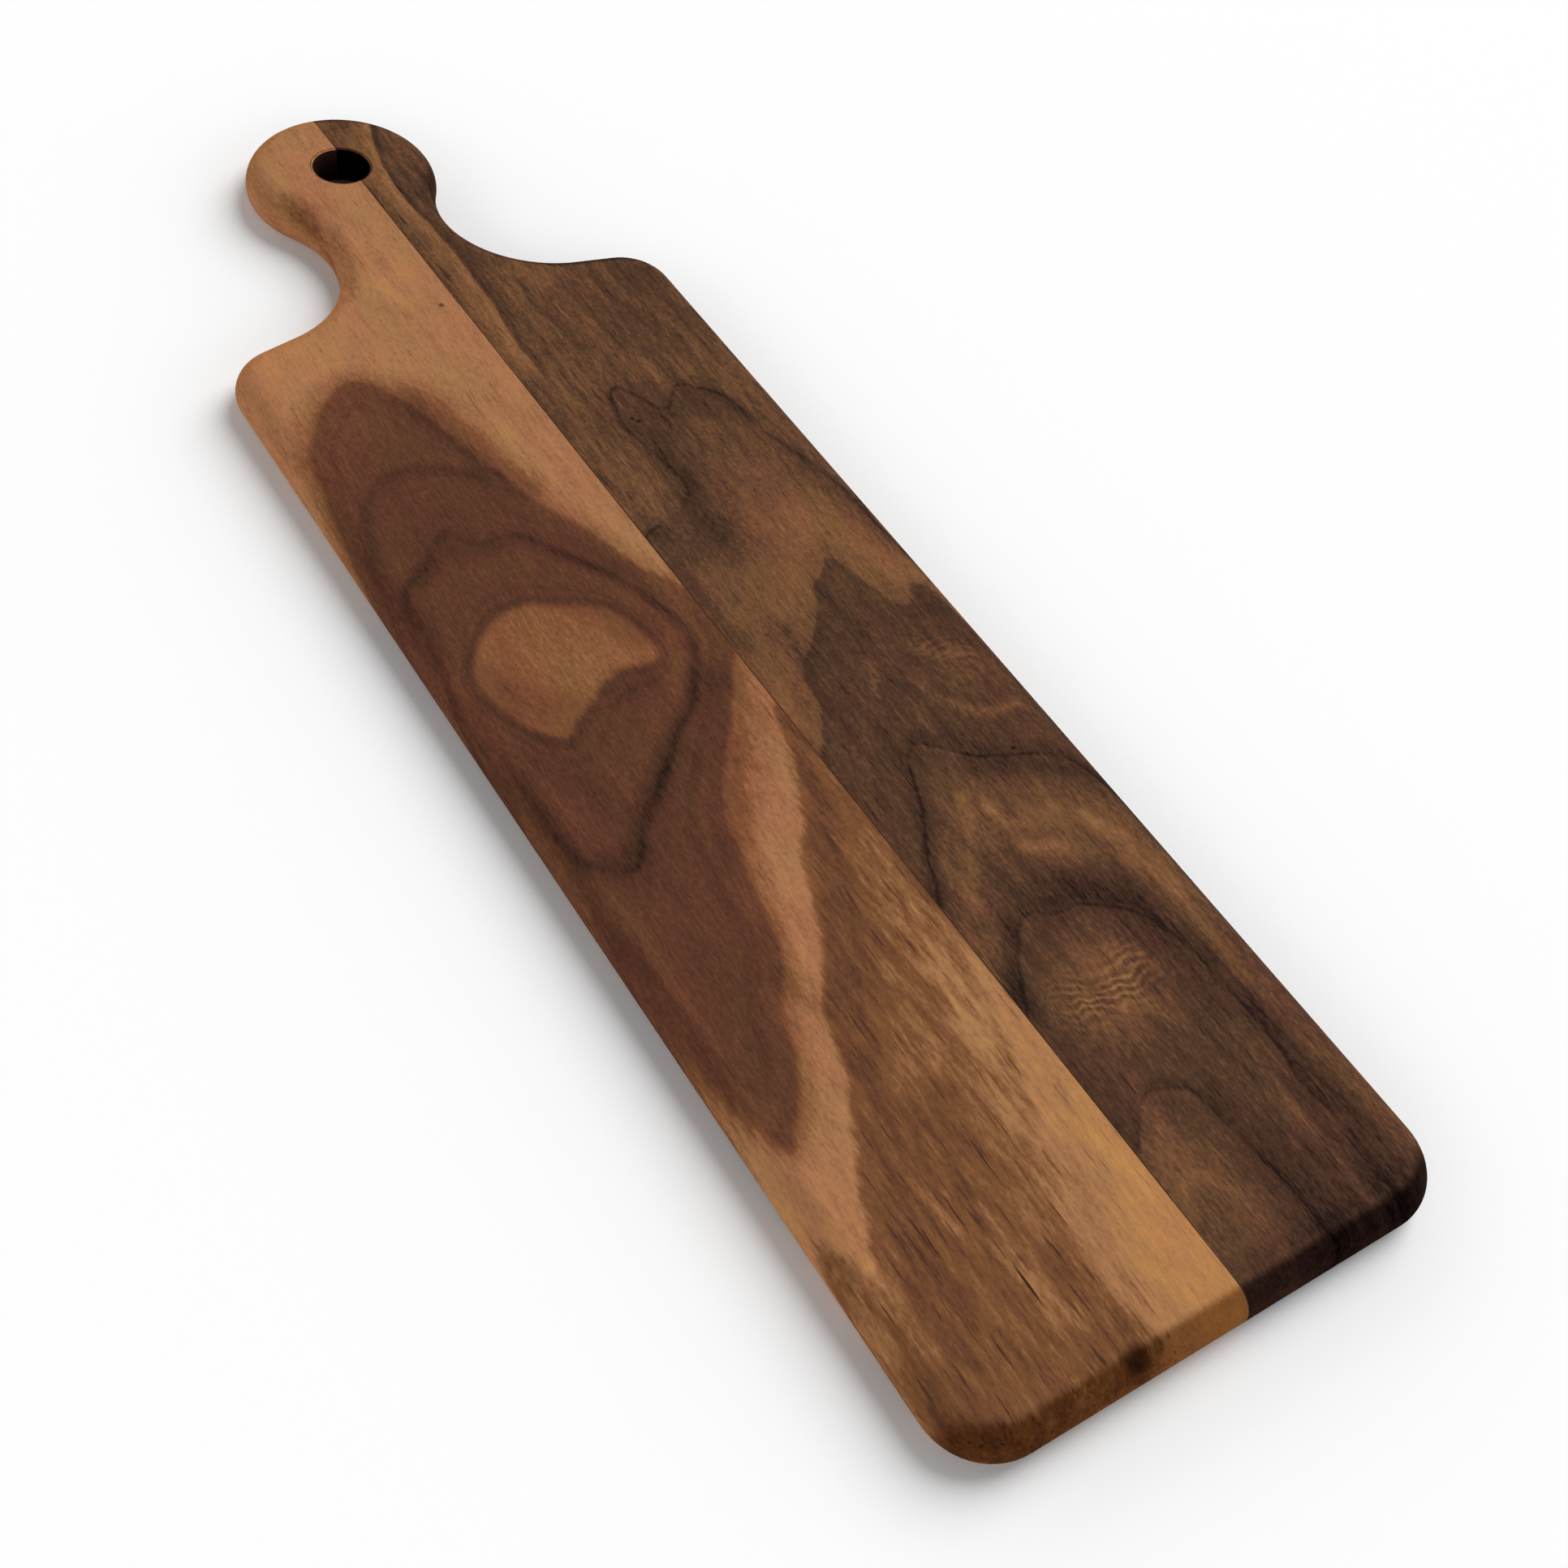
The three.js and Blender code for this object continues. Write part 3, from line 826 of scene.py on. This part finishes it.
def bend_rings(places, figure):
    """A smooth field bent through the figure's lines: its value and its slope at each of the places."""
    drawn = np.array([point for _, line in figure for point in line], float)
    values = np.array([value for value, line in figure for _ in line], float)
    count = len(drawn)
    flat = np.column_stack([np.ones(count), drawn])
    system = np.zeros((count + 3, count + 3))
    system[:count, :count] = plate(np.linalg.norm(drawn[:, None] - drawn[None], axis=2))
    system[:count, :count] += RING_SOFTNESS * np.eye(count)
    system[:count, count:] = flat
    system[count:, :count] = flat.T
    weights = np.linalg.solve(system, np.concatenate([values, np.zeros(3)]))
    offsets = places[:, None] - drawn[None]
    distances = np.maximum(np.linalg.norm(offsets, axis=2), LEAST_DISTANCE)
    rings = plate(distances) @ weights[:count] + weights[count] + places @ weights[count + 1:]
    pulls = (2 * np.log(distances) + 1) * weights[:count]
    slopes = np.einsum("ij,ijk->ik", pulls, offsets) + weights[count + 1:]
    return np.clip(rings, 0, RING_SPAN), np.maximum(np.linalg.norm(slopes, axis=1), LEAST_SLOPE)


def line_distance(places, line):
    """How far each place is from a line drawn through points."""
    points = np.array(line, float)
    nearest = np.linalg.norm(places - points[0], axis=1)
    for start, end in zip(points, points[1:]):
        run = end - start
        share = np.clip((places - start) @ run / (run @ run), 0, 1)
        nearest = np.minimum(nearest, np.linalg.norm(places - start - share[:, None] * run, axis=1))
    return nearest


def brushed(places, strokes):
    """The sum of soft strokes at each of the places."""
    total = np.zeros(len(places))
    for line, half_width, strength in strokes:
        total += strength * np.exp(-((line_distance(places, line) / half_width) ** 2))
    return total


def write_figure(plank, wood, shape):
    """Writes the wood's rings, strokes (among them painted shade and highlights) and ripples on the plank's
    points, and marks the hole's wall for painted shade.

    A point below the serving face takes its figure from a place further towards the knob."""
    corners = np.zeros(len(plank.data.vertices) * 3)
    plank.data.vertices.foreach_get("co", corners)
    corners = corners.reshape(-1, 3)
    depth = THICKNESS - corners[:, 2]
    places = np.column_stack([corners[:, 0], corners[:, 1] + RING_SLANT * depth]) / MILLIMETRE
    hole = (0, KNOB_END - shape.knob_radius)
    wall = shape.hole_radius + shape.hole_ease * WOOD_PAINTED_SHADE_EDGE
    rings, slopes = bend_rings(places, wood.rings)
    line = np.array(HANDLE_LINE, float)
    values = {
        "ring": rings,
        "slope": slopes,
        # strokes of wood figure, together with painted shade and painted highlights
        "shade": brushed(places, wood.strokes),
        "bore_painted_shade": np.linalg.norm(corners[:, :2] - hole, axis=1) < wall,
        "curl": brushed(places, wood.curls),
        "handle_line": places[:, 0] - np.interp(places[:, 1], line[:, 1], line[:, 0]),
    }
    for name, numbers in values.items():
        attribute = plank.data.attributes.new(name, "FLOAT", "POINT")
        attribute.data.foreach_set("value", numbers.astype(np.float32))


def add_node(tree, kind, inputs=None, **options):
    """Adds a node, sets its options, and fills its inputs with sockets or plain values."""
    node = tree.nodes.new(kind)
    for option, value in options.items():
        setattr(node, option, value)
    for key, value in (inputs or {}).items():
        if isinstance(value, bpy.types.NodeSocket):
            tree.links.new(value, node.inputs[key])
        else:
            node.inputs[key].default_value = value
    return node


def calculate(tree, operation, *terms):
    """The result of a Math node."""
    return add_node(tree, "ShaderNodeMath", dict(enumerate(terms)), operation=operation).outputs[0]


def calculate_vector(tree, operation, *terms):
    """The results of a Vector Math node."""
    return add_node(tree, "ShaderNodeVectorMath", dict(enumerate(terms)), operation=operation).outputs


def along_axis(tree, vector, axis):
    """One of the three numbers of a vector."""
    return add_node(tree, "ShaderNodeSeparateXYZ", {0: vector}).outputs[axis]


def swayed(tree, level, sways):
    """A level with noises added, each with how far it sways the level from end to end."""
    for noise, size in sways:
        level = calculate(tree, "ADD", level, calculate(tree, "MULTIPLY_ADD", noise, size, -size / 2))
    return level


def between(tree, value, low, high):
    """How far a value has come from low to high, as 0 to 1."""
    inputs = {"Value": value, "From Min": low, "From Max": high}
    return add_node(tree, "ShaderNodeMapRange", inputs, interpolation_type="SMOOTHSTEP").outputs["Result"]


def blended(tree, share, first, second, blend_type="MIX"):
    """A mix of two colours."""
    inputs = {0: share, 6: first, 7: second}
    return add_node(tree, "ShaderNodeMix", inputs, data_type="RGBA", blend_type=blend_type).outputs[2]


def grain_noise(tree, place, size, detail=2.0):
    """Noise drawn out along the grain, with marks of a size across and along it."""
    across, along = size
    scale = {"Vector": place, "Scale": (1 / across, 1 / along, 1 / across)}
    stretched = add_node(tree, "ShaderNodeMapping", scale).outputs["Vector"]
    inputs = {"Vector": stretched, "Scale": 1, "Detail": detail}
    return add_node(tree, "ShaderNodeTexNoise", inputs).outputs["Fac"]


def scattered(tree, place, size, span, detail=2.0):
    """Marks of a size, 0 where their noise is below the span and 1 where it is above."""
    return between(tree, grain_noise(tree, place, size, detail), *span)


def opaque(colour):
    """A colour with full alpha, as sockets want it."""
    return (*colour, 1)


def new_material(name):
    """An empty node material with its output and shader."""
    material = bpy.data.materials.new(name)
    material.use_nodes = True
    tree = material.node_tree
    tree.nodes.clear()
    shader = add_node(tree, "ShaderNodeBsdfPrincipled")
    add_node(tree, "ShaderNodeOutputMaterial", {"Surface": shader.outputs[0]})
    return material, tree, shader


def fill_ramp(tree, value, stops):
    """A colour ramp with a stop at each given position."""
    ramp = add_node(tree, "ShaderNodeValToRGB", {0: value})
    elements = ramp.color_ramp.elements
    while len(elements) < len(stops):
        elements.new(1.0)
    for element, (position, colour) in zip(elements, stops):
        element.position = position
        element.color = colour
    return ramp.outputs


def written(tree, name):
    """A value that is written on the plank's points."""
    return add_node(tree, "ShaderNodeAttribute", attribute_name=name).outputs["Fac"]


def curl_lines(tree, place):
    """Fine ripples across the grain, paler and darker in turn, as where the fibres wave."""
    beside = calculate(tree, "SUBTRACT", along_axis(tree, place, "X"), CURL_BEND)
    leaning = calculate(tree, "MINIMUM", beside, 0.0)
    along = calculate(tree, "MULTIPLY_ADD", leaning, CURL_LEAN, along_axis(tree, place, "Y"))
    sway = grain_noise(tree, place, CURL_SWAY_SIZE, detail=1.0)
    shiver = grain_noise(tree, place, CURL_SHIVER_SIZE)
    wander = swayed(tree, 0.0, [(sway, CURL_SWAY), (shiver, CURL_SHIVER)])
    wave = calculate(tree, "SINE", calculate(tree, "MULTIPLY_ADD", along, math.tau / CURL_STEP, wander))
    ripple = swayed(tree, CURL_LEVEL, [(between(tree, wave, *CURL_CREST), CURL_CONTRAST)])
    return calculate(tree, "MULTIPLY", ripple, scattered(tree, place, CURL_BREAK_SIZE, CURL_BREAK_SPAN))


def ring_offset(tree, ring, slope, value):
    """How many millimetres a point lies beyond the line of a ring value."""
    return calculate(tree, "DIVIDE", calculate(tree, "SUBTRACT", ring, value), slope)


def growth_line(tree, ring, slope, value, half_width):
    """1 on the line of a ring value and 0 half its width away."""
    distance = calculate(tree, "ABSOLUTE", ring_offset(tree, ring, slope, value))
    return between(tree, distance, half_width, 0.0)


def wood_edge(tree, ring, slope, value, width):
    """0 before the line of a ring value and 1 beyond it."""
    return between(tree, ring_offset(tree, ring, slope, value), -width / 2, width / 2)


def knot_share(tree, place, knots):
    """The strength of the pin knot, split or smudge at a point, and 0 away from them."""
    share = 0.0
    for x, y, half_width, half_length, strength in knots:
        middle = (x * MILLIMETRE, y * MILLIMETRE, THICKNESS)
        sizes = (half_width * MILLIMETRE, half_length * MILLIMETRE, half_length * MILLIMETRE)
        offset = calculate_vector(tree, "SUBTRACT", place, middle)[0]
        scaled = calculate_vector(tree, "DIVIDE", offset, sizes)[0]
        distance = calculate_vector(tree, "LENGTH", scaled)["Value"]
        share = calculate(tree, "MULTIPLY_ADD", between(tree, distance, 1.0, KNOT_CORE), strength, share)
    return share


def handle_tone(tree, place, sway, tone):
    """The tone, turned into straight grain along the handle."""
    offset = calculate(tree, "MULTIPLY_ADD", sway, HANDLE_SWAY, written(tree, "handle_line"))
    position = calculate(tree, "DIVIDE", calculate(tree, "ADD", offset, HANDLE_BEFORE), HANDLE_SPAN)
    stops = []
    for distance, level in HANDLE_TONES:
        stops.append(((distance + HANDLE_BEFORE) / HANDLE_SPAN, opaque((level, level, level))))
    straight = fill_ramp(tree, position, stops)["Color"]
    along = along_axis(tree, place, "Y")
    share = between(tree, along, HANDLE_START * MILLIMETRE, HANDLE_FULL * MILLIMETRE)
    return calculate(tree, "MULTIPLY_ADD", calculate(tree, "SUBTRACT", straight, tone), share, tone)


def ring_tone(tree, place, wood):
    """How light the wood is by its growth rings, and how strongly it is streaked there."""
    slope = written(tree, "slope")
    drift = grain_noise(tree, place, DRIFT_SIZE)
    feather = grain_noise(tree, place, FEATHER_SIZE)
    sway = swayed(tree, 0.0, [(drift, DRIFT_REACH), (feather, FEATHER_REACH)])
    ring = calculate(tree, "MULTIPLY_ADD", slope, sway, written(tree, "ring"))
    stops = [(value / RING_SPAN, (tone, tone, tone, streaking)) for value, tone, streaking in wood.tones]
    by_ring = fill_ramp(tree, calculate(tree, "DIVIDE", ring, RING_SPAN), stops)
    inputs = {"W": calculate(tree, "MULTIPLY", ring, BANDS_PER_RING), "Scale": 1.0}
    bands = add_node(tree, "ShaderNodeTexNoise", inputs, noise_dimensions="1D").outputs["Fac"]
    tone = swayed(tree, by_ring["Color"], [(bands, BAND_DEPTH)])
    for value, lighter, width in wood.edges:
        beyond = wood_edge(tree, ring, slope, value, width)
        tone = calculate(tree, "MULTIPLY_ADD", beyond, lighter, tone)
    fading = scattered(tree, place, FADE_SIZE, FADE_SPAN)
    for value, darker, half_width in wood.lines:
        line = calculate(tree, "MULTIPLY", growth_line(tree, ring, slope, value, half_width), fading)
        tone = calculate(tree, "MULTIPLY_ADD", line, -darker, tone)
    if wood.handle_lined:
        tone = handle_tone(tree, place, sway, tone)
    return tone, by_ring["Alpha"]


def grained(tree, place, wood, tone, streaking, narrow, fibre):
    """The tone with streaks, fibres, brushed strokes with their painted shade and highlights, painted shade
    on the hole's wall, and ripples.
    """
    broad = grain_noise(tree, place, (BROAD_WIDTH, wood.streak_length))
    middling = grain_noise(tree, place, MIDDLING_SIZE)
    speckle = grain_noise(tree, place, SPECKLE_SIZE)
    dashes = scattered(tree, place, DASH_SIZE, DASH_SPAN, detail=1.0)
    streaks = swayed(tree, 0.0, [(broad, BROAD_DEPTH), (middling, MIDDLING_DEPTH), (narrow, NARROW_DEPTH)])
    streaks = calculate(tree, "MULTIPLY_ADD", dashes, DASH_DEPTH, streaks)
    tone = calculate(tree, "MULTIPLY_ADD", streaking, streaks, tone)
    tone = swayed(tree, tone, [(fibre, wood.fineness), (speckle, wood.fineness)])
    dabs = swayed(tree, 1.0, [(grain_noise(tree, place, DAB_SIZE), DAB_DEPTH)])
    # the brushed strokes: wood figure together with painted shade and painted highlights
    tone = calculate(tree, "MULTIPLY_ADD", written(tree, "shade"), dabs, tone)
    # painted shade on the wall of the hanging hole
    tone = calculate(tree, "MULTIPLY_ADD", written(tree, "bore_painted_shade"), BORE_PAINTED_SHADE, tone)
    curl = calculate(tree, "MULTIPLY", written(tree, "curl"), curl_lines(tree, place))
    return calculate(tree, "MULTIPLY_ADD", curl, CURL_DEPTH, tone)


def end_grain_and_shade_tinted(tree, coordinates, colour, near_tint, far_tint):
    """The colour, deepened where a plank's end cuts across the grain, with painted shade on the near ends
    and the right plank's far ends.
    """
    facing = calculate(tree, "ABSOLUTE", along_axis(tree, coordinates["Normal"], "Y"))
    farness = between(tree, along_axis(tree, coordinates["Object"], "Y"), -END_REACH, END_REACH)
    tint = blended(tree, farness, opaque(near_tint), opaque(far_tint))
    return blended(tree, between(tree, facing, *END_FACING), colour, tint, "MULTIPLY")


def walnut(name, wood, colours):
    """Oiled walnut: tones by growth ring, feathered along the grain, with streaks, fibres and pores."""
    material, tree, shader = new_material(name)
    coordinates = add_node(tree, "ShaderNodeTexCoord").outputs
    place = coordinates["Object"]
    narrow = grain_noise(tree, place, NARROW_SIZE)
    fibre = grain_noise(tree, place, FIBRE_SIZE)
    pores = scattered(tree, place, PORE_SIZE, PORE_SPAN, detail=1.0)
    tone, streaking = ring_tone(tree, place, wood)
    tone = grained(tree, place, wood, tone, streaking, narrow, fibre)
    stops = [(0.0, opaque(BLACK))]
    stops += [(position, opaque(getattr(colours, shade))) for position, shade in wood.palette]
    colour = fill_ramp(tree, tone, stops)["Color"]

    plainness = between(tree, streaking, *PLAIN_SPAN)
    warmth = calculate(tree, "MULTIPLY", scattered(tree, place, WARM_SIZE, WARM_SPAN), plainness)
    tint = blended(tree, warmth, opaque(GREEN_TINT), opaque(ROSE_TINT))
    colour = blended(tree, 1.0, colour, tint, "MULTIPLY")
    marks = calculate(tree, "MULTIPLY_ADD", pores, PORE_SHARE, knot_share(tree, place, wood.knots))
    colour = blended(tree, marks, colour, opaque(colours.pore))
    # end grain deepened by oil, together with painted shade on the ends
    near_tint = getattr(colours, wood.near_end)
    far_tint = getattr(colours, wood.far_end)
    colour = end_grain_and_shade_tinted(tree, coordinates, colour, near_tint, far_tint)
    tree.links.new(colour, shader.inputs["Base Color"])
    roughness = swayed(tree, WOOD_ROUGHNESS, [(narrow, NARROW_ROUGHNESS), (pores, PORE_ROUGHNESS)])
    tree.links.new(roughness, shader.inputs["Roughness"])
    shader.inputs["Specular IOR Level"].default_value = 0.0
    height = swayed(tree, 0.0, [(fibre, FIBRE_HEIGHT), (pores, PORE_HEIGHT)])
    relief = {"Height": height, "Strength": RELIEF_STRENGTH, "Distance": RELIEF_DEPTH}
    tree.links.new(add_node(tree, "ShaderNodeBump", relief).outputs[0], shader.inputs["Normal"])
    return material


def dried_glue(name, colours, shape):
    """Dried glue: a brown film, mottled where it squeezed out unevenly, with painted shade in the hanging
    hole.
    """
    material, tree, shader = new_material(name)
    place = add_node(tree, "ShaderNodeTexCoord").outputs["Object"]
    mottle = grain_noise(tree, place, MOTTLE_SIZE)
    deeper = tuple(part * MOTTLE_SHADE for part in colours.glue)
    colour = blended(tree, mottle, opaque(colours.glue), opaque(deeper))
    # painted shade: inside the hanging hole the glue takes the pores' dark colour
    hole = (0, KNOB_END - shape.knob_radius, 0)
    offset = calculate_vector(tree, "SUBTRACT", place, hole)[0]
    level = calculate_vector(tree, "MULTIPLY", offset, (1, 1, 0))[0]
    distance = calculate_vector(tree, "LENGTH", level)["Value"]
    wall = shape.hole_radius + shape.hole_ease * GLUE_PAINTED_SHADE_EDGE
    colour = blended(tree, between(tree, distance, wall, shape.hole_radius), colour, opaque(colours.pore))
    tree.links.new(colour, shader.inputs["Base Color"])
    roughness = swayed(tree, GLUE_ROUGHNESS, [(mottle, MOTTLE_ROUGHNESS)])
    tree.links.new(roughness, shader.inputs["Roughness"])
    shader.inputs["Specular IOR Level"].default_value = 0.0
    return material


class BREADBOARD_OT_planks(bpy.types.Operator):
    """Models the board in one piece, drills it and parts it into its two walnut planks"""

    bl_idname = "breadboard.planks"
    bl_label = "Two planks"

    def execute(self, context):
        shape = context.scene.breadboard_shape
        colours = context.scene.breadboard_colours
        blank = draw_outline(shape)
        thicken(blank, shape)
        cut_faces_up(blank)
        drill_hole(blank, shape)
        left = part_plank(blank, "left_plank_wood", -1, shape)
        right = part_plank(blank, "right_plank_wood", 1, shape)
        for plank, node, slot, wood in (
            (left, "left_plank", "walnut_sap_and_heart", LEFT_WOOD),
            (right, "right_plank", "walnut_dark_heart", RIGHT_WOOD),
        ):
            write_figure(plank, wood, shape)
            plank.data.materials.append(walnut(slot, wood, colours))
            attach(plank, "root")
            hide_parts(node)
        bpy.data.objects.remove(blank)
        return {"FINISHED"}


class BREADBOARD_OT_glue(bpy.types.Operator):
    """Finishes the two runs of glue in the joint"""

    bl_idname = "breadboard.glue"
    bl_label = "Glue line"

    def execute(self, context):
        glue = dried_glue("dried_glue", context.scene.breadboard_colours, context.scene.breadboard_shape)
        for node in ("glue_line_blade", "glue_line_knob"):
            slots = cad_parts[node].data.materials
            slots.clear()
            slots.append(glue)
        return {"FINISHED"}


class BREADBOARD_OT_stage(bpy.types.Operator):
    """Sets up the floor, the lights and the camera"""

    bl_idname = "breadboard.stage"
    bl_label = "Stage"

    def execute(self, context):
        stage = context.scene.breadboard_stage
        context.scene.view_settings.view_transform = "Standard"
        lay_floor(stage)
        light_room(context.scene, stage)
        hang_key_lamp(stage)
        place_camera(context.scene, stage)
        return {"FINISHED"}


def lay_floor(stage):
    """A wide plain floor under the board."""
    bpy.ops.object.select_all(action="DESELECT")
    bpy.ops.mesh.primitive_plane_add(size=FLOOR_SIZE)
    floor = bpy.context.active_object
    floor.name = "floor"
    material, _, shader = new_material("floor_paint")
    shader.inputs["Base Color"].default_value = opaque(stage.floor)
    shader.inputs["Roughness"].default_value = FLOOR_ROUGHNESS
    shader.inputs["Specular IOR Level"].default_value = FLOOR_GLOSS
    floor.data.materials.append(material)


def light_room(scene, stage):
    """A room with white walls round the board, dim above them and dark straight overhead."""
    world = bpy.data.worlds.new("soft_room")
    scene.world = world
    world.use_nodes = True
    tree = world.node_tree
    tree.nodes.clear()
    direction = add_node(tree, "ShaderNodeTexCoord").outputs["Generated"]
    height = along_axis(tree, direction, "Z")
    above = between(tree, height, stage.wall_height, stage.wall_height + WALL_FADE)
    levels = {"Value": above, "To Min": stage.wall_level, "To Max": stage.sky_level}
    level = add_node(tree, "ShaderNodeMapRange", levels).outputs["Result"]
    straight_up = between(tree, height, *OVERHEAD_SPAN)
    dimmed = calculate(tree, "MULTIPLY_ADD", straight_up, -OVERHEAD_DIMMING, 1.0)
    strength = calculate(tree, "MULTIPLY", level, dimmed)
    sky = add_node(tree, "ShaderNodeBackground", {"Color": (1, 1, 1, 1), "Strength": strength})
    add_node(tree, "ShaderNodeOutputWorld", {"Surface": sky.outputs[0]})


def hang_key_lamp(stage):
    """One broad, soft main light, high on the right behind the board."""
    bpy.ops.object.light_add(type="SUN", location=KEY_PLACE)
    lamp = bpy.context.active_object
    lamp.name = "key_lamp"
    lamp.rotation_euler = Vector(KEY_AIM).to_track_quat("-Z", "Y").to_euler()
    lamp.data.energy = stage.key_level
    lamp.data.angle = KEY_SOFTNESS


def place_camera(scene, stage):
    """Stands the camera where the photograph was taken from."""
    turn = Matrix.Rotation(stage.azimuth, 4, "Z")
    turn = turn @ Matrix.Rotation(math.radians(90) - stage.elevation, 4, "X")
    turn = turn @ Matrix.Rotation(stage.roll, 4, "Z")
    target = Vector(stage.target)
    eye = target + turn.to_3x3() @ Vector((0, 0, stage.distance))
    bpy.ops.object.camera_add(location=eye, rotation=turn.to_euler())
    camera = bpy.context.active_object
    camera.name = "photo_camera"
    camera.data.lens = stage.lens
    camera.data.sensor_width = SENSOR_WIDTH
    camera.data.clip_start = NEAREST_SEEN
    scene.camera = camera


class BREADBOARD_PT_panel(bpy.types.Panel):
    """Lists the board's sizes and colours, and the steps that make it"""

    bl_idname = "BREADBOARD_PT_panel"
    bl_label = "Bread board"
    bl_space_type = "VIEW_3D"
    bl_region_type = "UI"
    bl_category = "Bread board"

    def draw(self, context):
        scene = context.scene
        for group in (scene.breadboard_shape, scene.breadboard_colours, scene.breadboard_stage):
            box = self.layout.box()
            for name in group.__annotations__:
                box.prop(group, name)
        for step in STEPS:
            self.layout.operator(step.bl_idname)


STEPS = (BREADBOARD_OT_stage, BREADBOARD_OT_planks, BREADBOARD_OT_glue)
CLASSES = (BoardShape, WalnutColours, StageSet, *STEPS, BREADBOARD_PT_panel)


def register():
    """Registers the classes and hangs the settings on the scene."""
    for made in CLASSES:
        bpy.utils.register_class(made)
    bpy.types.Scene.breadboard_shape = PointerProperty(type=BoardShape)
    bpy.types.Scene.breadboard_colours = PointerProperty(type=WalnutColours)
    bpy.types.Scene.breadboard_stage = PointerProperty(type=StageSet)


def unregister():
    """Takes the settings and the classes away again."""
    del bpy.types.Scene.breadboard_stage
    del bpy.types.Scene.breadboard_colours
    del bpy.types.Scene.breadboard_shape
    for made in reversed(CLASSES):
        bpy.utils.unregister_class(made)


def main():
    """Makes the board step by step."""
    register()
    bpy.ops.breadboard.stage()
    bpy.ops.breadboard.planks()
    bpy.ops.breadboard.glue()


if __name__ == "__main__":
    main()
